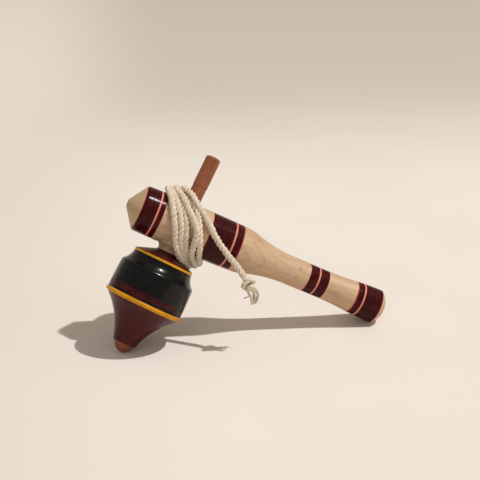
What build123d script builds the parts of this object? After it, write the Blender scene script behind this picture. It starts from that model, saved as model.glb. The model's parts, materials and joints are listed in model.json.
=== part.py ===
from build123d import *
import os
from math import cos, radians, sin, tan

# A lac-turned spinning top in its launcher handle, with the pull cord wound round the handle's
# head. Millimetres, +Z up. The set stands on two points, the top's tip and the handle's butt,
# and leans back from -Y. The origin is on the ground, under the middle of the wooden pieces.

# ---- pose -----------------------------------------------------------------------------------
handle_dip = 26.52  # degrees that the handle axis falls from the nose to the butt
lean_back = 17.5  # degrees that the stem leans away from -Y, about the handle axis
stem_rake = 3.6  # degrees that the cross bore is off square, leaning to the butt
crossing = Vector(-43.65, 11.48, 75.905)  # where the handle axis and the stem axis meet

# ---- handle, measured along its axis from the nose ------------------------------------------
handle_length = 190.0
stem_station = 37.8  # place of the cross bore
nose_radius = 2.7
head_radius = 15.95
waist_radius = 9.72
butt_radius = 11.85
end_radius = 14.6  # round of the butt end
end_cap_angle = 50.0
centre_hole_radius = 1.7  # hole left by the lathe centre
centre_hole_depth = 7.0

# ---- top, measured up its axis from the tip -------------------------------------------------
top_reach = 90.87  # from the tip to the handle axis
tip_radius = 6.0
tip_seam = 6.1  # where the tip's wood meets the body
spigot_radius = 4.0  # peg on the tip, let into the body
spigot_length = 14.0
collar_radius = 10.4
collar_top = 80.87
waist_height = 71.9
stem_radius = 5.0
stem_above = 49.5  # stem end above the handle axis
stem_free = 28.0  # start of the free end, above the handle axis
running_relief = 0.2  # the stem is this much thinner below its free end, where it runs in the bore
stem_foot = 60.0  # depth of the stem in the body, as a height above the tip
crown_radius = 16.0  # round of the stem's free end
crown_angle = 14.5

# ---- fits and coats -------------------------------------------------------------------------
running_clearance = 0.04  # on the free end, which passes through the bore
collar_clearance = 0.08
spin_clearance = 0.05
seat_gap = 0.1
coat = 0.5  # lac thickness
slab_radius = 40.0

# ---- cord -----------------------------------------------------------------------------------
cord_diameter = 3.4
coil_tilt = 34.0  # degrees between the handle axis and the axis of the wound turns
coil_clearance = 0.4
knot_radius = 4.3

# Free end of the cord, from the wound turns to the knot, hanging in front of the handle.
tail_points = [
    (-41.5, 20.0, 99.0),
    (-36.5, 10.0, 98.0),
    (-32.5, 1.5, 91.0),
    (-27.0, -2.5, 82.0),
    (-22.5, -7.5, 71.5),
    (-16.0, -13.0, 62.5),
    (-10.0, -17.5, 55.5),
    (-6.5, -21.0, 50.0),
]
knot_centre = Vector(-4.7, -23.3, 46.9)
fray_ends = [Vector(-9.0, -28.6, 40.1), Vector(-4.4, -29.4, 36.9)]
fray_radius = 1.2

# ---- working planes -------------------------------------------------------------------------
handle_axis_dir = Vector(1, 0, 0).rotate(Axis.Y, handle_dip)
side_dir = Vector(0, -1, 0).rotate(Axis((0, 0, 0), handle_axis_dir), -lean_back)
handle_plane = Plane(crossing - handle_axis_dir * stem_station, x_dir=handle_axis_dir, z_dir=side_dir)
handle_axis = Axis(handle_plane.origin, handle_axis_dir)

top_x_dir = handle_axis_dir.rotate(Axis((0, 0, 0), side_dir), -stem_rake)
stem_dir = handle_plane.y_dir.rotate(Axis((0, 0, 0), side_dir), -stem_rake)
top_plane = Plane(crossing - stem_dir * top_reach, x_dir=top_x_dir, z_dir=side_dir)
top_axis = Axis(top_plane.origin, stem_dir)


def across_handle(station):
    """Plane square to the handle axis, at a distance from the nose."""
    return Plane(handle_plane.from_local_coords((station, 0, 0)), x_dir=side_dir, z_dir=handle_axis_dir)


def across_top(height):
    """Plane square to the stem axis, at a height above the tip."""
    return Plane(top_plane.from_local_coords((0, height, 0)), x_dir=top_x_dir, z_dir=stem_dir)


def save(part, label):
    part.label = label
    export_step(part, f"parts/{label}.step")


def turned_handle(depth):
    """The handle as turned, with its outline cut back by depth."""
    with BuildPart() as solid:
        with BuildSketch(handle_plane):
            with BuildLine():
                nose = Polyline((0, 0), (0, nose_radius - depth / 2), (8.2, 14.55 - depth))
                shoulder = ThreePointArc(nose @ 1, (8.9, 15.05 - depth), (10.2, 15.25 - depth))
                head = ThreePointArc(shoulder @ 1, (44, head_radius - depth), (80, 15.45 - depth))
                brow = JernArc(head @ 1, head % 1, 30, -15.4)
                hollow = TangentArc(brow @ 1, (117, waist_radius - depth), tangent=brow % 1)
                waist = Line(hollow @ 1, (143, waist_radius - depth))
                swell = JernArc(waist @ 1, (1, 0), 197.8, 5.95)
                heel = TangentArc(swell @ 1, (184, butt_radius - depth), tangent=swell % 1)
                end_cap = CenterArc((handle_length - end_radius, 0), end_radius, 0, end_cap_angle)
                RadiusArc(heel @ 1, end_cap @ 1, 1.2)
                Line((handle_length, 0), (0, 0))
            make_face()
        revolve(axis=handle_axis)
    return solid.part


def turned_top(depth):
    """The top as turned, with its outline cut back by depth."""
    with BuildPart() as solid:
        with BuildSketch(top_plane):
            with BuildLine():
                tip = CenterArc((0, tip_radius), tip_radius, -90, 51)
                cone_foot = Line(tip @ 1, (7.75 - depth, 6))
                cone = ThreePointArc(cone_foot @ 1, (14.4 - depth, 20.75), (25.1 - depth, 33))
                bead = ThreePointArc(cone @ 1, (26.35 - depth * 2, 34.4), (25.6 - depth, 35.8))
                belly = ThreePointArc(bead @ 1, (25.6 - depth, 46), (25.25 - depth, 54.6))
                brow = ThreePointArc(belly @ 1, (25.0 - depth, 55.4), (24.5 - depth, 56.1))
                cove = ThreePointArc(brow @ 1, (21.7 - depth, 59.5), (20.4 - depth, 63.8))
                rim = Polyline(cove @ 1, (20.4 - depth, 65.2), (19.9 - depth, 65.8 - depth))
                shoulder = Line(rim @ 1, (8.8 - depth, 70.1 - depth))
                waist = ThreePointArc(shoulder @ 1, (7.7 - depth, 70.8 - depth), (7.3 - depth, waist_height))
                neck = ThreePointArc(waist @ 1, (8.2 - depth, 73.9), (collar_radius - depth, 75.6))
                Polyline(
                    neck @ 1,
                    (collar_radius - depth, collar_top - 0.4),
                    (collar_radius - depth - 0.4, collar_top),
                    (0, collar_top),
                    (0, 0),
                )
            make_face()
        revolve(axis=top_axis)
    return solid.part


def coat_ring(skin, blank, start_plane, length, label):
    """Band of lac between two planes: the turned skin down to the bare blank."""
    with BuildPart() as ring:
        with BuildSketch(start_plane):
            Circle(slab_radius)
        extrude(amount=length)
        add(skin, mode=Mode.INTERSECT)
        add(blank, mode=Mode.SUBTRACT)
    save(ring.part, label)
    return ring.part


os.makedirs("parts", exist_ok=True)

# ---- handle ---------------------------------------------------------------------------------
# Bands of lac as (name, start, end), measured from the nose.
handle_bands = [
    ("head_band_front", 7.8, 17.55),
    ("head_band_line", 17.55, 18.5),
    ("head_band_rear", 18.5, 22.0),
    ("collar_band_front", 54.2, 70.75),
    ("collar_band_line", 70.75, 71.75),
    ("collar_band_rear", 71.75, 76.5),
    ("collar_edge_line", 76.5, 77.0),
    ("grip_band_front", 129.5, 135.95),
    ("grip_band_line", 135.95, 136.95),
    ("grip_band_rear", 136.95, 143.6),
    ("butt_edge_line", 165.0, 165.6),
    ("butt_band_front", 165.6, 169.9),
    ("butt_band_line", 169.9, 170.85),
    ("butt_band_rear", 170.85, 183.7),
]
handle_skin = turned_handle(0)
handle_blank = turned_handle(coat)
handle_rings = [
    coat_ring(handle_skin, handle_blank, across_handle(start), end - start, name)
    for name, start, end in handle_bands
]

# The core has the raked cross bore for the stem, a wider socket below it for the top's collar,
# and the hole that the lathe centre left in the nose.
with BuildPart() as handle_core:
    add(handle_skin)
    for band in handle_rings:
        add(band, mode=Mode.SUBTRACT)
    with BuildSketch(across_top(collar_top + seat_gap)):
        Circle(stem_radius + running_clearance)
    extrude(amount=slab_radius, mode=Mode.SUBTRACT)
    with BuildSketch(across_top(collar_top + seat_gap)):
        Circle(collar_radius + collar_clearance)
    extrude(amount=-slab_radius, mode=Mode.SUBTRACT)
    with BuildSketch(handle_plane):
        with BuildLine():
            Polyline(
                (0, 0),
                (centre_hole_depth + centre_hole_radius, 0),
                (centre_hole_depth, centre_hole_radius),
                (0, centre_hole_radius),
                close=True,
            )
        make_face()
    revolve(axis=handle_axis, mode=Mode.SUBTRACT)
save(handle_core.part, "handle_core")

# ---- top ------------------------------------------------------------------------------------
# Coats of lac as (name, start, end), measured up from the tip.
top_bands = [
    ("cone_coat", tip_seam, 32.95),
    ("lower_ring", 32.95, 35.8),
    ("edge_line", 35.8, 37.3),
    ("stripe_coat", 37.3, 41.3),
    ("belly_coat", 41.3, 63.8),
    ("upper_ring", 63.8, 65.25),
    ("shoulder_coat", 65.25, 70.9),
]
top_skin = turned_top(0)
top_blank = turned_top(coat)
top_rings = [
    coat_ring(top_skin, top_blank, across_top(start), end - start, name) for name, start, end in top_bands
]

# The tip is a hardwood peg in the foot of the body.
with BuildPart() as top_tip:
    with BuildSketch(across_top(-1)):
        Circle(slab_radius)
    extrude(amount=tip_seam + 1)
    add(top_blank, mode=Mode.INTERSECT)
    with BuildSketch(across_top(tip_seam)):
        Circle(spigot_radius)
    extrude(amount=spigot_length)
save(top_tip.part, "top_tip")

# The body keeps the bare wood of the neck and the collar, and a blind hole for the stem.
with BuildPart() as top_body:
    add(top_skin)
    for band in top_rings:
        add(band, mode=Mode.SUBTRACT)
    with BuildSketch(across_top(-1)):
        Circle(slab_radius)
    extrude(amount=tip_seam + 1, mode=Mode.SUBTRACT)
    with BuildSketch(across_top(tip_seam)):
        Circle(spigot_radius)
    extrude(amount=spigot_length, mode=Mode.SUBTRACT)
    with BuildSketch(across_top(stem_foot - spin_clearance)):
        Circle(stem_radius - running_relief + spin_clearance)
    extrude(amount=slab_radius, mode=Mode.SUBTRACT)
save(top_body.part, "top_body")

with BuildPart() as top_stem:
    with BuildSketch(top_plane):
        with BuildLine():
            stem_end = top_reach + stem_above
            crown = CenterArc((0, stem_end - crown_radius), crown_radius, 90, -crown_angle)
            Polyline(
                crown @ 1,
                (stem_radius, stem_end - 1.5),
                (stem_radius, top_reach + stem_free),
                (stem_radius - running_relief, top_reach + stem_free),
                (stem_radius - running_relief, stem_foot),
                (0, stem_foot),
                (0, stem_end),
            )
        make_face()
    revolve(axis=top_axis)
save(top_stem.part, "top_stem")

# ---- cord -----------------------------------------------------------------------------------
coil_across_dir = handle_axis_dir * sin(radians(coil_tilt)) - handle_plane.y_dir * cos(radians(coil_tilt))
coil_axis_dir = handle_axis_dir * cos(radians(coil_tilt)) + handle_plane.y_dir * sin(radians(coil_tilt))
coil_plane = Plane(crossing, x_dir=coil_across_dir, z_dir=coil_axis_dir)
coil_side_plane = Plane(crossing, x_dir=coil_across_dir, z_dir=side_dir)

# Five turns as one ring: tight on the front of the head and slack behind it, widest on the
# front, and gathered above by the stem and below beside the neck.
coil_outline = [
    (-26, -5.8),
    (-19, -7),
    (-5, -10.5),
    (8, -11),
    (16, -9),
    (21.4, -2.5),
    (28.5, -1.5),
    (28.5, 6.5),
    (21, 9),
    (8, 10),
    (-5, 10),
    (-19, 7.5),
    (-26, 7.5),
]
with BuildPart() as cord_wrap:
    with BuildSketch(coil_plane):
        with Locations((1.35, 3.75)):
            Ellipse(26.9, 26.25)
        with Locations((0.6, 3.9)):
            Ellipse(21.4, 20.2, mode=Mode.SUBTRACT)
    extrude(amount=slab_radius / 2, both=True)
    with BuildSketch(coil_side_plane):
        with BuildLine():
            Polyline(*coil_outline, close=True)
        make_face()
    extrude(amount=slab_radius, both=True, mode=Mode.INTERSECT)
    with BuildSketch(across_handle(0)):
        Circle(head_radius + coil_clearance)
    extrude(amount=handle_length, mode=Mode.SUBTRACT)
    with BuildSketch(across_top(collar_top)):
        Circle(collar_radius + coil_clearance)
    extrude(amount=-slab_radius, mode=Mode.SUBTRACT)
    with BuildSketch(across_top(waist_height - 2)):
        Circle(22)
    extrude(amount=-slab_radius, mode=Mode.SUBTRACT)
    with BuildSketch(across_top(top_reach)):
        Circle(stem_radius + coil_clearance)
    extrude(amount=stem_above, mode=Mode.SUBTRACT)
save(cord_wrap.part, "cord_wrap")


def bend_radii(points):
    """The largest arc that each corner of a route has room for."""
    radii = []
    for before, corner, after in zip(points, points[1:], points[2:]):
        run_in = Vector(corner) - Vector(before)
        run_out = Vector(after) - Vector(corner)
        half_turn = radians(run_in.get_angle(run_out)) / 2
        radii.append(0.45 * min(run_in.length, run_out.length) / tan(half_turn))
    return radii


tail_radii = bend_radii(tail_points)
print("cord tail bend radii:", [round(radius, 1) for radius in tail_radii])
with BuildPart() as cord_tail:
    with BuildLine():
        tail_route = FilletPolyline(*tail_points, radius=tail_radii)
    with BuildSketch(Plane(tail_route @ 0, z_dir=tail_route % 0)):
        Circle(cord_diameter / 2)
    sweep(path=tail_route)
print("cord tail length:", round(tail_route.length, 1), "volume:", round(cord_tail.part.volume, 1))
save(cord_tail.part, "cord_tail")

with BuildPart() as cord_knot:
    with Locations(knot_centre):
        Sphere(knot_radius)
save(cord_knot.part, "cord_knot")

with BuildPart() as cord_fray:
    for end in fray_ends:
        root = knot_centre + (end - knot_centre).normalized() * (knot_radius - 0.5)
        with BuildSketch(Plane(root, z_dir=end - root)):
            Circle(fray_radius)
        extrude(amount=(end - root).length, taper=4)
save(cord_fray.part, "cord_fray")
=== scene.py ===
import json
import random
from math import cos, pi, radians, sin
import bpy
from mathutils import Matrix, Quaternion, Vector


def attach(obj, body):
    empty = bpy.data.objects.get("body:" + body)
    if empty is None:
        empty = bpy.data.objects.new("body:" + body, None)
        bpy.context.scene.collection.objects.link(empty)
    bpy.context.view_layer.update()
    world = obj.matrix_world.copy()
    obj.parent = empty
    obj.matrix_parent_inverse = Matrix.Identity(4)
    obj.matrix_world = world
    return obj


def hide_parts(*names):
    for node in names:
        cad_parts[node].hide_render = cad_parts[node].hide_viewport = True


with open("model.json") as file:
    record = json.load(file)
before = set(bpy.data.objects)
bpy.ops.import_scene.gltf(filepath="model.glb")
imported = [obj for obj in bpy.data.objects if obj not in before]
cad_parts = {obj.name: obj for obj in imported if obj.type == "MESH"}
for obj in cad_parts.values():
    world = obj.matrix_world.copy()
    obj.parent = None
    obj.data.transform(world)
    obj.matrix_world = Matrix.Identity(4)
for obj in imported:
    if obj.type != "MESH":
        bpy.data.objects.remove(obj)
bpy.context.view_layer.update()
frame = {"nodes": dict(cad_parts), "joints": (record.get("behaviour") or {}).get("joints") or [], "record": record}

# A lac-turned spinning top in its launcher handle. Metres, in the frame of the CAD model.
MM = 0.001

# ---- axes of the turned pieces, from the frame ------------------------------------------------
spin = next(joint for joint in frame["joints"] if joint["name"] == "top_spin")
grip = next(mount for mount in frame["record"]["mounts"] if mount["name"] == "grip_waist")
CROSSING = Vector(spin["pos_m"])  # where the stem's axis crosses the handle's
STEM_DIR = Vector(spin["axis"]).normalized()
HANDLE_DIR = Vector(grip["axis"]).normalized()
SIDE_DIR = HANDLE_DIR.cross(STEM_DIR).normalized()
UP_DIR = SIDE_DIR.cross(HANDLE_DIR)


def along(node, axis):
    """Lowest and highest place of a node on an axis through the crossing, in metres."""
    places = [(vertex.co - CROSSING).dot(axis) for vertex in frame["nodes"][node].data.vertices]
    return min(places), max(places)


def from_handle(x, y, z):
    """A point given along the handle, up and to the front of the crossing, in millimetres."""
    return CROSSING + (HANDLE_DIR * x + UP_DIR * y + SIDE_DIR * z) * MM


NOSE = CROSSING + HANDLE_DIR * along("handle_core", HANDLE_DIR)[0]
TIP = CROSSING + STEM_DIR * along("top_tip", STEM_DIR)[0]


# ---- shader helper ----------------------------------------------------------------------------
class Shader:
    """A node material, written as nested calls. Every value is a socket, a number or a tuple."""

    def __init__(self, name):
        self.material = bpy.data.materials.new(name)
        self.material.use_nodes = True
        self.tree = self.material.node_tree
        self.surface = self.tree.nodes["Principled BSDF"]

    def put(self, socket, value):
        if isinstance(value, bpy.types.NodeSocket):
            self.tree.links.new(value, socket)
        elif hasattr(value, "__len__") and len(socket.default_value) == 4:
            socket.default_value = (*value[:3], 1)
        else:
            socket.default_value = value

    def node(self, kind, values=(), out=0, **settings):
        """Adds a node with these input values and settings, and gives one of its outputs."""
        made = self.tree.nodes.new("ShaderNode" + kind)
        for key, value in settings.items():
            setattr(made, key, value)
        for key, value in dict(values).items():
            self.put(made.inputs[key], value)
        return made.outputs[out]

    def calc(self, operation, *values):
        return self.node("Math", enumerate(values), operation=operation)

    def scaled(self, places, lengthwise=1.0, across=1.0):
        """The three places from lathe as one vector, scaled along the axis and across it."""
        values = {0: self.node("CombineXYZ", enumerate(places)), 1: (lengthwise, across, across)}
        return self.node("VectorMath", values, operation="MULTIPLY")

    def noise(self, at, scale, detail=3.0, rough=0.5, warp=0.0):
        values = {"Vector": at, "Scale": scale, "Detail": detail, "Roughness": rough, "Distortion": warp}
        return self.node("TexNoise", values, noise_dimensions="3D")

    def ease(self, value, low, high, to_low=0.0, to_high=1.0):
        """value from low to high becomes to_low to to_high, smoothly and clamped."""
        values = {"Value": value, "From Min": low, "From Max": high, "To Min": to_low, "To Max": to_high}
        return self.node("MapRange", values, interpolation_type="SMOOTHSTEP")

    def mix(self, amount, first, second):
        """A blend of two colours, which are the node's sockets 6 and 7, and 2 going out."""
        values = {0: amount, 6: first, 7: second}
        return self.node("Mix", values, out=2, data_type="RGBA")

    def bump(self, height, distance, strength=1.0, over=None):
        """A normal for a height that stands for the given metres, laid over another normal."""
        values = {"Height": height, "Distance": distance, "Strength": strength}
        if over is not None:
            values["Normal"] = over
        return self.node("Bump", values)

    def lathe(self, origin, axis):
        """(place along the axis, and the two across it) in millimetres, fixed to the piece."""
        at = self.node("TexCoord", out="Object")
        at = self.node("VectorMath", {0: at, 1: tuple(origin)}, operation="SUBTRACT")
        across = axis.cross(UP_DIR if abs(axis.dot(UP_DIR)) < 0.9 else HANDLE_DIR).normalized()
        places = []
        for direction in (axis, across, axis.cross(across)):
            values = {0: at, 1: tuple(direction / MM)}
            places.append(self.node("VectorMath", values, out="Value", operation="DOT_PRODUCT"))
        return places

    def finish(self, **values):
        for key, value in values.items():
            self.put(self.surface.inputs[key.replace("_", " ")], value)
        return self.material


def coat_node(node, material):
    """Gives a CAD node a better material in its own slots."""
    for slot in frame["nodes"][node].material_slots:
        slot.material = material


def dimmed(colour, *parts):
    """A colour with each channel multiplied by its part, or all of them by the only one."""
    return [channel * part for channel, part in zip(colour, parts * (3 // len(parts)))]


# ---- wood -------------------------------------------------------------------------------------
HEART_OFFSET = 31.0  # from a piece's axis to the heart of the tree, in mm
RING_SWAY = 16.0  # how far the growth rings wander, in mm
END_GRAIN = 10.0  # length at the nose or the tip that is darker, in mm
SPECK_RAG, SPECK_BLUR = 0.7, 0.5  # how far a speck's edge wanders and fades, in mm

PALE_WOOD = (0.665, 0.475, 0.300), (0.515, 0.345, 0.205)
STEM_WOOD = (0.385, 0.132, 0.056), (0.245, 0.075, 0.032)
TIP_WOOD = (0.300, 0.090, 0.028), (0.205, 0.056, 0.019)

# Drops of old paint on the handle and the lathe centre's hole in its nose: place, radius in mm
# and colour.
SPECKS = [
    (from_handle(84.0, 3.6, 9.1), 1.0, (0.12, 0.30, 0.08)),
    (from_handle(86.5, -1.0, 9.7), 1.0, (0.55, 0.48, 0.02)),
    (from_handle(83.0, -3.0, 9.3), 0.7, (0.25, 0.10, 0.04)),
    (from_handle(91.5, 8.6, 5.0), 1.6, (0.16, 0.13, 0.10)),
    (NOSE, 2.5, (0.012, 0.009, 0.007)),
]


def spot(s, places, centre, radius):
    """Mask of one small spot with a ragged edge."""
    values = {0: s.node("TexCoord", out="Object"), 1: tuple(centre)}
    distance = s.calc("DIVIDE", s.node("VectorMath", values, out="Value", operation="DISTANCE"), MM)
    rag = s.calc("MULTIPLY", s.noise(s.scaled(places), 2.0), SPECK_RAG)
    return s.ease(s.calc("ADD", distance, rag), radius + SPECK_BLUR, radius, to_high=0.8)


def wood(name, origin, axis, colours, ring_gap, specks=(), roughness=0.5):
    """Turned wood with its grain along the axis: growth rings, fibres, pores, stains, tool rings."""
    s = Shader(name)
    light, dark = colours
    places = s.lathe(origin, axis)
    sway = s.noise(s.scaled(places, 0.12), 0.07, detail=2.0)
    fibre = s.noise(s.scaled(places, 0.05), 2.4, detail=5.0, rough=0.65)
    pores = s.noise(s.scaled(places, 0.16), 5.5, detail=2.0)
    stain = s.noise(s.scaled(places, 0.35), 0.055, rough=0.6, warp=1.2)
    streak = s.noise(s.scaled(places, 0.045), 0.42, detail=4.0, rough=0.6, warp=0.8)
    tool = s.noise(s.scaled(places, across=0.0), 1.6, detail=4.0, rough=0.7)
    to_heart = s.calc("ADD", places[1], HEART_OFFSET)
    past_heart = s.calc("ADD", places[2], s.calc("MULTIPLY", sway, RING_SWAY))
    heart = s.calc("SQRT", s.calc("ADD", s.calc("POWER", to_heart, 2.0), s.calc("POWER", past_heart, 2.0)))
    wave = s.calc("SINE", s.calc("MULTIPLY", heart, 2 * pi / ring_gap))

    colour = s.mix(s.ease(fibre, 0.3, 0.7), dark, light)
    colour = s.mix(s.ease(wave, 0.55, 1.0, to_high=0.26), colour, dimmed(dark, 0.72))
    colour = s.mix(s.ease(streak, 0.54, 0.72, to_high=0.55), colour, dimmed(dark, 0.62))
    colour = s.mix(s.ease(stain, 0.45, 0.72, to_high=0.50), colour, dimmed(dark, 0.86, 0.72, 0.68))
    colour = s.mix(s.ease(pores, 0.60, 0.72, to_high=0.35), colour, dimmed(dark, 0.5))
    for centre, radius, paint in specks:
        colour = s.mix(spot(s, places, centre, radius), colour, paint)
    colour = s.mix(s.ease(places[0], END_GRAIN, 1.0, to_high=0.40), colour, dimmed(dark, 0.75))
    colour = s.mix(s.ease(tool, 0.52, 0.70, to_high=0.12), colour, dark)

    normal = s.bump(tool, 0.05 * MM, 0.5)
    normal = s.bump(fibre, 0.10 * MM, 0.45, normal)
    rough = s.ease(fibre, 0.2, 0.8, roughness - 0.08, roughness + 0.12)
    return s.finish(Base_Color=colour, Roughness=rough, Normal=normal, Specular_IOR_Level=0.42)


coat_node("handle_core", wood("handle_wood", NOSE, HANDLE_DIR, PALE_WOOD, 3.1, SPECKS))
coat_node("top_body", wood("body_wood", TIP, STEM_DIR, PALE_WOOD, 2.6))
coat_node("top_stem", wood("stem_wood", TIP, STEM_DIR, STEM_WOOD, 1.5, roughness=0.56))
coat_node("top_tip", wood("tip_wood", TIP, STEM_DIR, TIP_WOOD, 1.7))


# ---- lac --------------------------------------------------------------------------------------
# Each lac has its colour and the colour that clouds it.
MAROON = (0.036, 0.0034, 0.0042), (0.082, 0.0075, 0.0090)
CONE_MAROON = (0.056, 0.0074, 0.0078), (0.082, 0.0100, 0.0108)
STRIPE_MAROON = (0.026, 0.0032, 0.0040), (0.080, 0.0085, 0.0098)
BLACK = (0.0048, 0.0044, 0.0044), (0.020, 0.018, 0.016)
BELLY_BLACK = (0.0030, 0.0028, 0.0028), (0.0080, 0.0074, 0.0070)
AMBER = (0.800, 0.345, 0.012), (0.300, 0.100, 0.008)
GREENED_AMBER = (0.800, 0.345, 0.012), (0.330, 0.250, 0.012)
PALE_LINE = (0.660, 0.320, 0.215), (0.600, 0.215, 0.145)
RED_EDGE = (0.300, 0.010, 0.018), (0.420, 0.050, 0.055)
CHIP_BROWN = (0.080, 0.030, 0.010)

RIM_WIDTH = 0.35  # red line at each end of a maroon band, in mm
RIM_BLUR = 0.12  # half the width over which it fades, in mm
RIM_RAG = 0.30  # how far its edge wanders, in mm
SCORE_GAP = 1.25  # between the lines scored in a ring, in mm
CHIP_BLUR = 0.06  # half the width over which a chip's edge fades, in mm


def lac(node, axis, origin, colours, cloudy, rough, shine=0.09, rim=None, scored=0.0, chips=None):
    """Lac laid on in the lathe: fine rings, a cloudy second colour and smears.

    It may have a rim of another colour, scored lines, and chips, given as (colour, depth in mm).
    """
    s = Shader(node)
    base, second = colours
    places = s.lathe(origin, axis)
    x = places[0]
    start = (origin - CROSSING).dot(axis)
    low, high = ((place - start) / MM for place in along(node, axis))
    rings = s.noise(s.scaled(places, across=0.0), 2.6, detail=5.0, rough=0.7)
    broad = s.noise(s.scaled(places, across=0.0), 0.55, detail=2.0)
    cloud = s.noise(s.scaled(places, across=0.45), 0.30, detail=4.0, rough=0.6)
    smear = s.noise(s.scaled(places, 2.2), 0.16, detail=5.0, rough=0.62, warp=0.9)
    inward = s.calc("MINIMUM", s.calc("SUBTRACT", x, low), s.calc("SUBTRACT", high, x))

    colour = s.mix(s.ease(cloud, 0.42, 0.68, to_high=cloudy), base, second)
    colour = s.mix(s.ease(rings, 0.55, 0.75, to_high=cloudy * 0.7), colour, second)
    if scored:
        wave = s.calc("SINE", s.calc("MULTIPLY", x, 2 * pi / SCORE_GAP))
        colour = s.mix(s.ease(wave, 0.45, 0.95, to_high=scored), colour, second)
    if rim is not None:
        rag = s.noise(s.scaled(places, 0.4), 0.9)
        rag = s.calc("MULTIPLY", s.calc("SUBTRACT", rag, 0.5), RIM_RAG)
        edge = s.ease(s.calc("ADD", inward, rag), RIM_WIDTH + RIM_BLUR, RIM_WIDTH - RIM_BLUR)
        colour = s.mix(edge, colour, rim)
    if chips is not None:
        bare, depth = chips
        bite = s.noise(s.scaled(places), 0.85, rough=0.6)
        reach = s.ease(bite, 0.60, 0.70, to_high=depth)
        colour = s.mix(s.ease(s.calc("SUBTRACT", inward, reach), CHIP_BLUR, -CHIP_BLUR), colour, bare)

    normal = s.bump(broad, 0.12 * MM, 0.40)
    normal = s.bump(rings, 0.040 * MM, 0.50, normal)
    normal = s.bump(smear, 0.15 * MM, 0.07, normal)
    return s.finish(
        Base_Color=colour,
        Roughness=s.ease(smear, 0.40, 0.72, rough, rough + 0.16),
        Normal=normal,
        Coat_Weight=0.07,
        Coat_Roughness=rough * 0.7,
        Specular_IOR_Level=shine,
    )


def lac_on_handle(node, colours, cloudy, rough, **extras):
    coat_node(node, lac(node, HANDLE_DIR, NOSE, colours, cloudy, rough, **extras))


def lac_on_top(node, colours, cloudy, rough, **extras):
    coat_node(node, lac(node, STEM_DIR, TIP, colours, cloudy, rough, **extras))


for node in sorted(frame["nodes"]):
    if "_band_" in node and not node.endswith("_line"):
        lac_on_handle(node, MAROON, 0.55, rough=0.15, rim=RED_EDGE[0])
    elif node.endswith("_edge_line"):
        lac_on_handle(node, RED_EDGE, 0.5, rough=0.30)
    elif node.endswith("_band_line"):
        lac_on_handle(node, PALE_LINE, 0.6, rough=0.35)

lac_on_top("cone_coat", CONE_MAROON, 0.7, rough=0.19, shine=0.11)
lac_on_top("lower_ring", AMBER, 0.6, rough=0.30, scored=0.95, chips=(CHIP_BROWN, 0.25))
lac_on_top("edge_line", BLACK, 0.5, rough=0.20)
lac_on_top("stripe_coat", STRIPE_MAROON, 0.9, rough=0.22, shine=0.12)
lac_on_top("belly_coat", BELLY_BLACK, 0.6, rough=0.17, shine=0.20)
lac_on_top("upper_ring", GREENED_AMBER, 0.7, rough=0.28, chips=(BLACK[0], 0.5))
lac_on_top("shoulder_coat", MAROON, 0.6, rough=0.24)


# ---- cord -------------------------------------------------------------------------------------
CORD_DIAMETER = 3.4 * MM
LAY = 9.0 * MM  # length of one twist of the cord's three strands
STRAND_OFFSET = 0.50  # from the cord's middle to a strand's, as a part of the cord's radius
STRAND_SIZE = (0.70, 0.92)  # thinnest and thickest strand, as parts of the cord's radius
LUMP = 1.6 * MM  # distance between a strand's thick and thin places
STEM_ROOM, COLLAR_ROOM = 7.6, 13.2  # least distance from the stem's axis to the cord's middle, in mm

TURN_POINTS = 24  # control points in each wound turn

# The wound turns, as places along the handle (mm from the crossing) and distances from its axis
# (mm), at these angles round it from the top, by the front. The cord starts on the inner turns,
# goes out to the nose side and comes back over them.
ANGLES = (0, 50, 90, 130, 150, 180, 230, 290)
TURNS = [
    ((-11.0, -6.2, 0.3, 5.2, 9.0, 15.9, 16.5, -3.5), (18.3, 18.1, 18.1, 18.5, 19.0, 18.3, 19.5, 20.5)),
    ((-15.0, -9.9, -3.4, 1.8, 6.5, 12.9, 13.0, -6.5), (18.3, 18.1, 18.1, 19.2, 21.0, 20.4, 24.5, 26.0)),
    ((-17.2, -14.2, -8.2, -1.6, 3.4, 14.2, 15.6, -2.0), (18.8, 18.5, 18.5, 19.9, 22.6, 22.9, 27.0, 28.2)),
    ((-12.2, -5.2, 6.9, 9.8, 12.3, 18.6, 18.0, 2.2), (21.0, 20.9, 20.9, 19.8, 20.4, 20.9, 22.8, 23.4)),
    ((-7.6, 3.0, 9.4, 15.0, 16.9, 20.9, 19.0, 3.0), (18.4, 18.3, 18.1, 18.2, 18.6, 18.1, 25.0, 27.0)),
]
LAST_PLACE, LAST_DISTANCE = -8.4, 23.6  # where the last turn ends, at the top

# The free end, from the last turn to the knot, as in the CAD model (millimetres).
TAIL_POINTS = [
    (-41.5, 20.0, 99.0),
    (-36.5, 10.0, 98.0),
    (-32.5, 1.5, 91.0),
    (-27.0, -2.5, 82.0),
    (-22.5, -7.5, 71.5),
    (-16.0, -13.0, 62.5),
    (-10.0, -17.5, 55.5),
    (-6.5, -21.0, 50.0),
]
KNOT_CENTRE = Vector((-4.7, -23.3, 46.9)) * MM

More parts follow.
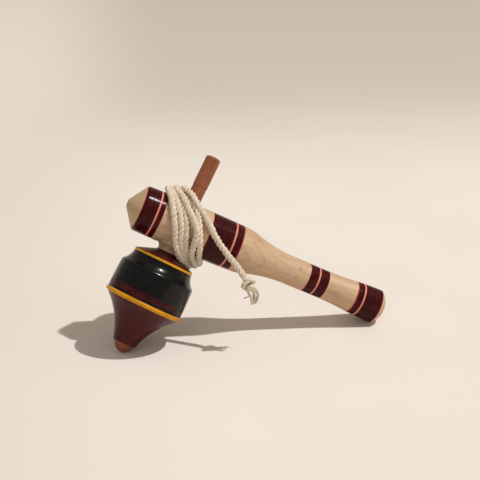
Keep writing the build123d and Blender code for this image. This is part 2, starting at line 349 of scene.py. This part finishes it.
# The overhand knot, then the loose bundles of yarn that its end opens into, with their radii,
# all in millimetres to the right, to the front and up from the knot's middle.
KNOT_TIGHTNESS = 0.84  # the cord's thickness in the knot, as a part of its own
KNOT_ROUTE = [
    (-1.3, 0.2, 1.5),
    (0.2, -2.2, -0.4),
    (2.6, -2.6, -1.2),
    (4.0, -0.4, 0.2),
    (2.6, 2.2, 3.2),
    (-0.2, 3.2, 2.4),
    (-2.6, 2.8, -0.4),
    (-2.8, 0.2, -2.8),
    (-0.2, -2.0, -3.4),
    (2.6, -0.4, -2.2),
    (2.6, 2.4, -1.6),
    (0.2, 3.0, -2.6),
    (-0.4, 1.8, -4.4),
]
BUNDLES = [
    (((-0.4, 1.8, -3.6), (0.1, 2.2, -6.0), (1.9, 2.4, -8.0), (2.8, 2.8, -10.6), (2.3, 3.0, -13.4)), 1.05),
    (((0.9, 1.2, -3.0), (3.4, 1.3, -5.0), (4.3, 0.6, -7.6), (4.2, 0.4, -10.4), (3.8, 0.4, -13.6)), 1.00),
    (((1.8, -0.4, -2.6), (4.6, -0.6, -4.8), (6.6, -1.2, -8.0), (6.6, -1.6, -11.0), (5.2, -1.6, -15.0)), 1.05),
    (((1.6, 2.0, -8.0), (0.4, 2.1, -8.6), (-1.0, 2.3, -9.1), (-2.5, 2.4, -9.6)), 0.32),
]
BUNDLE_YARNS, BUNDLE_FIBRES = 5, 16
FIBRE_RADIUS = 0.07 * MM
HAIRS = 1500  # short fibres that stand off the cord
HAIR_RADIUS = 0.035 * MM

YARNS = 5  # ridges round each strand
YARN_TWIST = 0.55  # turns that they make for each mm along it
COTTON_LIGHT, COTTON_TAN = (0.890, 0.770, 0.620), (0.780, 0.640, 0.480)
# The hollow colour is painted shade for the grooves between the yarns; the fleck colour is the cotton's own dark
# flecks.
COTTON_HOLLOW_SHADE, COTTON_FLECK = (0.480, 0.360, 0.230), (0.400, 0.290, 0.170)


def smooth_through(places, values, at):
    """Value at a place, on a smooth curve through the given values."""
    last = len(places) - 1
    i = min(max(sum(place <= at for place in places) - 1, 0), last - 1)
    gap = places[i + 1] - places[i]
    slopes = []
    for j in (i, i + 1):
        before, after = max(j - 1, 0), min(j + 1, last)
        slopes.append((values[after] - values[before]) / (places[after] - places[before]) * gap)
    t = (at - places[i]) / gap
    start, end = values[i], values[i + 1]
    bend = t * t * (3 - 2 * t)
    return start + (end - start) * bend + slopes[0] * t * (1 - t) ** 2 - slopes[1] * t * t * (1 - t)


def clear_of_top(point):
    """The same point, moved out to leave room for the stem above the handle and the collar below."""
    above = (point - CROSSING).dot(STEM_DIR)
    out = point - CROSSING - STEM_DIR * above
    keep = (COLLAR_ROOM if above < 0 else STEM_ROOM) * MM
    return point + out.normalized() * max(keep - out.length, 0.0)


def coil_points():
    """Control points of the wound turns, worked out round the handle's axis."""
    angles = [turn * 360 + angle for turn in range(len(TURNS)) for angle in ANGLES]
    stations = [value for places, _ in TURNS for value in places]
    reaches = [value for _, distances in TURNS for value in distances]
    angles.append(len(TURNS) * 360)
    stations.append(LAST_PLACE)
    reaches.append(LAST_DISTANCE)
    points = []
    for step in range(len(TURNS) * TURN_POINTS - 1):
        angle = step * 360 / TURN_POINTS
        station = smooth_through(angles, stations, angle)
        reach = smooth_through(angles, reaches, angle)
        turned = radians(angle)
        points.append(clear_of_top(from_handle(station, reach * cos(turned), reach * sin(turned))))
    return points


def by_knot(x, front, z):
    """A point given from the knot's middle, in millimetres to the right, to the front and up."""
    return KNOT_CENTRE + Vector((x, -front, z)) * MM


def route_points(points, name):
    """Points read from a smooth NURBS line that has these control points."""
    curve = bpy.data.curves.new(name, "CURVE")
    curve.dimensions = "3D"
    curve.resolution_u = 10
    spline = curve.splines.new("NURBS")
    spline.points.add(len(points) - 1)
    for control, point in zip(spline.points, points):
        control.co = (*point, 1)
    spline.order_u = 3
    spline.use_endpoint_u = True
    holder = bpy.data.objects.new(name, curve)
    mesh = bpy.data.meshes.new_from_object(holder)
    line = [vertex.co.copy() for vertex in mesh.vertices]
    bpy.data.meshes.remove(mesh)
    bpy.data.objects.remove(holder)
    bpy.data.curves.remove(curve)
    return line


def evenly(line, step):
    """(point, direction, normal, distance) along a line, every step, with a normal that doesn't twist."""
    spots = [line[0]]
    carried = 0.0
    for start, end in zip(line, line[1:]):
        length = (end - start).length
        while carried + length >= step:
            start = start.lerp(end, (step - carried) / length)
            spots.append(start.copy())
            length = (end - start).length
            carried = 0.0
        carried += length
    if (spots[-1] - line[-1]).length > step * 0.2:
        spots.append(line[-1].copy())
    rings = []
    normal = None
    for i, middle in enumerate(spots):
        ahead = (spots[min(i + 1, len(spots) - 1)] - spots[max(i - 1, 0)]).normalized()
        normal = ahead.orthogonal() if normal is None else normal - ahead * normal.dot(ahead)
        normal.normalize()
        rings.append((middle, ahead, normal.copy(), i * step))
    return rings


class Weave:
    """Collects tubes into one mesh with UVs: U round each tube, V along it in millimetres."""

    def __init__(self):
        self.points, self.faces, self.uvs = [], [], []

    def tube(self, rings, radii, sides):
        first = len(self.points)
        for (middle, ahead, normal, _), radius in zip(rings, radii):
            across = ahead.cross(normal)
            for side in range(sides):
                turned = 2 * pi * side / sides
                self.points.append(middle + (normal * cos(turned) + across * sin(turned)) * radius)
        for i in range(len(rings) - 1):
            low, high = rings[i][3] / MM, rings[i + 1][3] / MM
            for side in range(sides):
                a = first + i * sides + side
                b = first + i * sides + (side + 1) % sides
                self.faces.append((a, b, b + sides, a + sides))
                left, right = side / sides, (side + 1) / sides
                self.uvs += [(left, low), (right, low), (right, high), (left, high)]
        for ring, order in ((0, -1), (len(rings) - 1, 1)):
            corners = [first + ring * sides + side for side in range(sides)][::order]
            self.faces.append(corners)
            self.uvs += [(0.5, rings[ring][3] / MM)] * sides

    def piece(self, name, material):
        mesh = bpy.data.meshes.new(name)
        mesh.from_pydata(self.points, [], self.faces)
        layer = mesh.uv_layers.new(name="along")
        for loop, uv in zip(layer.data, self.uvs):
            loop.uv = uv
        mesh.polygons.foreach_set("use_smooth", [True] * len(mesh.polygons))
        mesh.materials.append(material)
        made = bpy.data.objects.new(name, mesh)
        bpy.context.scene.collection.objects.link(made)
        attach(made, "handle")
        return made


def cotton():
    """Twisted unbleached cotton: yarns that wind round each strand, fibres, and painted shade in the hollows
    between them.
    """
    s = Shader("cotton")
    uv = s.node("TexCoord", out="UV")
    u = s.node("SeparateXYZ", {0: uv}, out="X")
    v = s.node("SeparateXYZ", {0: uv}, out="Y")
    wound = s.calc("ADD", s.calc("MULTIPLY", u, YARNS), s.calc("MULTIPLY", v, YARN_TWIST))
    yarn = s.calc("SINE", s.calc("MULTIPLY", wound, 2 * pi))
    at = s.node("TexCoord", out="Object")
    fibre = s.noise(at, 2600, detail=4.0, rough=0.7)
    patch = s.noise(at, 160, rough=0.6)
    fleck = s.noise(at, 1300, rough=0.6)
    height = s.calc("ADD", s.calc("MULTIPLY", yarn, 0.25), s.calc("MULTIPLY", fibre, 1.1))
    colour = s.mix(s.ease(patch, 0.35, 0.7), COTTON_LIGHT, COTTON_TAN)
    # Painted shade: the low places between the yarns are darkened.
    colour = s.mix(s.ease(height, 0.45, 0.0, to_high=0.35), colour, COTTON_HOLLOW_SHADE)
    colour = s.mix(s.ease(fleck, 0.56, 0.68, to_high=0.55), colour, COTTON_FLECK)
    return s.finish(
        Base_Color=colour,
        Roughness=0.92,
        Normal=s.bump(height, 0.30 * MM),
        Sheen_Weight=0.35,
        Sheen_Roughness=0.5,
        Specular_IOR_Level=0.15,
    )


def rope(line, radius, sides=9, step=0.45 * MM):
    """Three uneven strands twisted round a line."""
    made = Weave()
    core = evenly(line, step)
    for strand in range(3):
        rings = []
        radii = []
        lumps = [random.uniform(*STRAND_SIZE) for _ in range(int(len(core) * step / LUMP) + 2)]
        for middle, ahead, normal, distance in core:
            turned = 2 * pi * (distance / LAY + strand / 3)
            out = normal * cos(turned) + ahead.cross(normal) * sin(turned)
            rings.append((middle + out * radius * STRAND_OFFSET, ahead, out, distance))
            lump, part = divmod(distance / LUMP, 1)
            part = (1 - cos(pi * part)) / 2
            radii.append(radius * (lumps[int(lump)] * (1 - part) + lumps[int(lump) + 1] * part))
        made.tube(rings, radii, sides)
    return made


def drifted(route, spread):
    """A bundle's route, with each of its points moved at random by about the given millimetres."""
    drift = [Vector([random.gauss(0, spread) * MM for _ in range(3)]) for _ in route]
    return route_points([by_knot(*point) + off for point, off in zip(route, drift)], "drifted_route")


def frayed_ends():
    """The opened yarns below the knot, with loose fibres round them."""
    made = Weave()
    for route, radius in BUNDLES:
        for _ in range(BUNDLE_YARNS):
            rings = evenly(drifted(route, radius * 0.40), 0.5 * MM)
            taper = [1 - 0.45 * (i / len(rings)) ** 3 for i in range(len(rings))]
            made.tube(rings, [radius * 0.52 * MM * part for part in taper], 7)
        for _ in range(BUNDLE_FIBRES):
            rings = evenly(drifted(route, radius * 0.75), 0.7 * MM)
            made.tube(rings, [FIBRE_RADIUS] * len(rings), 3)
    return made


def cord_fuzz(line):
    """Short stray fibres that stand off the cord."""
    made = Weave()
    core = evenly(line, 0.8 * MM)
    for _ in range(HAIRS):
        middle, ahead, normal, _ = random.choice(core)
        out = Quaternion(ahead, random.uniform(0, 2 * pi)) @ normal
        root = middle + out * CORD_DIAMETER / 2
        reach = random.uniform(0.4, 1.3) * MM
        slant = ahead * random.uniform(-1.0, 1.0) * reach
        bend = root + out * reach * 0.6 + slant * 0.4
        hair = evenly([root, bend, root + out * reach * 0.8 + slant], reach * 0.4)
        made.tube(hair, [HAIR_RADIUS] * len(hair), 3)
    return made


random.seed(11)
cotton_material = cotton()
tail = [Vector(point) * MM for point in TAIL_POINTS]
cord_line = route_points(coil_points() + tail, "cord_route")
cord = rope(cord_line, CORD_DIAMETER / 2).piece("pull_cord", cotton_material)
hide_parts("cord_wrap", "cord_tail")

knot_line = route_points([tail[-1]] + [by_knot(*point) for point in KNOT_ROUTE], "knot_route")
knot = rope(knot_line, CORD_DIAMETER / 2 * KNOT_TIGHTNESS).piece("overhand_knot", cotton_material)
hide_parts("cord_knot")

frays = frayed_ends().piece("frayed_ends", cotton_material)
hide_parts("cord_fray")

fuzz = cord_fuzz(cord_line).piece("cord_fuzz", cotton_material)


# ---- studio -----------------------------------------------------------------------------------
PAPER, PAPER_MOTTLE = (0.815, 0.760, 0.715), (0.798, 0.740, 0.690)
# Painted shade: the paper's colour where it is made darker at the back, in front and on the left.
PAPER_BACK_SHADE = (0.560, 0.510, 0.455)
PAPER_FRONT_SHADE = (0.735, 0.685, 0.635)
PAPER_LEFT_SHADE = (0.700, 0.650, 0.605)
SWEEP_STEPS = 16

# The camera stands in front of the crossing, a little above it and to its left.
EYE_PLACE = (-0.02696, -0.61326, 0.20095)
EYE_DIR = (0.10007, 0.93976, -0.32687)
EYE_UP = (0.04981, 0.32337, 0.94496)
LENS = 74.13  # focal length in mm, on a sensor 36 mm wide


def paper():
    """Warm white paper, with painted shade that makes it darker at the back, in front and on the left."""
    s = Shader("paper")
    at = s.node("TexCoord", out="Object")
    side_place = s.node("SeparateXYZ", {0: at}, out="X")
    back_place = s.node("SeparateXYZ", {0: at}, out="Y")
    colour = s.mix(s.ease(s.noise(at, 9.0), 0.3, 0.7), PAPER, PAPER_MOTTLE)
    # Painted shade: the paper darkens towards the back, the front and the left.
    colour = s.mix(s.ease(back_place, 0.25, 1.00), colour, PAPER_BACK_SHADE)
    colour = s.mix(s.ease(back_place, -0.05, -0.35), colour, PAPER_FRONT_SHADE)
    colour = s.mix(s.ease(side_place, 0.0, -0.25), colour, PAPER_LEFT_SHADE)
    return s.finish(Base_Color=colour, Roughness=0.95, Specular_IOR_Level=0.1)


def backdrop():
    """One pale sheet: a floor that sweeps up behind the object."""
    half_width, front, back, rise, sweep = 2.2, -2.0, 1.3, 1.8, 0.5
    profile = [(front, 0.0), (back - sweep, 0.0)]
    for step in range(1, SWEEP_STEPS + 1):
        turned = radians(90 * step / SWEEP_STEPS)
        profile.append((back - sweep + sweep * sin(turned), sweep - sweep * cos(turned)))
    profile.append((back, rise))
    points = [(x, y, z) for y, z in profile for x in (-half_width, half_width)]
    faces = [(2 * i, 2 * i + 1, 2 * i + 3, 2 * i + 2) for i in range(len(profile) - 1)]
    mesh = bpy.data.meshes.new("paper_sweep")
    mesh.from_pydata(points, [], faces)
    mesh.polygons.foreach_set("use_smooth", [True] * len(mesh.polygons))
    mesh.materials.append(paper())
    sheet = bpy.data.objects.new("paper_sweep", mesh)
    bpy.context.scene.collection.objects.link(sheet)


def sun(name, direction, strength, colour, angle):
    data = bpy.data.lights.new(name, "SUN")
    data.energy = strength
    data.color = colour
    data.angle = radians(angle)
    lamp = bpy.data.objects.new(name, data)
    lamp.rotation_euler = Vector(direction).to_track_quat("-Z", "Y").to_euler()
    bpy.context.scene.collection.objects.link(lamp)


def panel(name, place, size, power, colour):
    """A square soft light that faces the object."""
    data = bpy.data.lights.new(name, "AREA")
    data.shape = "SQUARE"
    data.size = size
    data.energy = power
    data.color = colour
    lamp = bpy.data.objects.new(name, data)
    lamp.location = place
    lamp.rotation_euler = (CROSSING - Vector(place)).to_track_quat("-Z", "Y").to_euler()
    lamp.visible_glossy = False
    bpy.context.scene.collection.objects.link(lamp)


def surroundings(strength, colour):
    world = bpy.data.worlds.new("studio")
    world.use_nodes = True
    background = world.node_tree.nodes["Background"]
    background.inputs["Color"].default_value = (*colour, 1)
    background.inputs["Strength"].default_value = strength
    bpy.context.scene.world = world


def camera():
    data = bpy.data.cameras.new("camera")
    data.sensor_width = 36.0
    data.lens = LENS
    data.clip_start = 0.01
    eye = bpy.data.objects.new("camera", data)
    forward = Vector(EYE_DIR).normalized()
    right = forward.cross(Vector(EYE_UP)).normalized()
    turned = Matrix((right, right.cross(forward), -forward)).transposed()
    eye.matrix_world = Matrix.Translation(CROSSING + Vector(EYE_PLACE)) @ turned.to_4x4()
    bpy.context.scene.collection.objects.link(eye)
    bpy.context.scene.camera = eye


backdrop()
sun("key", (-0.4835, 0.1184, -0.8673), strength=2.45, colour=(1.0, 0.98, 0.95), angle=1.6)
panel("front_fill", (-0.5, -1.3, 0.9), size=0.5, power=1.5, colour=(1.0, 0.97, 0.93))
surroundings(0.40, (1.0, 0.92, 0.80))
bpy.context.scene.view_settings.view_transform = "Standard"
camera()
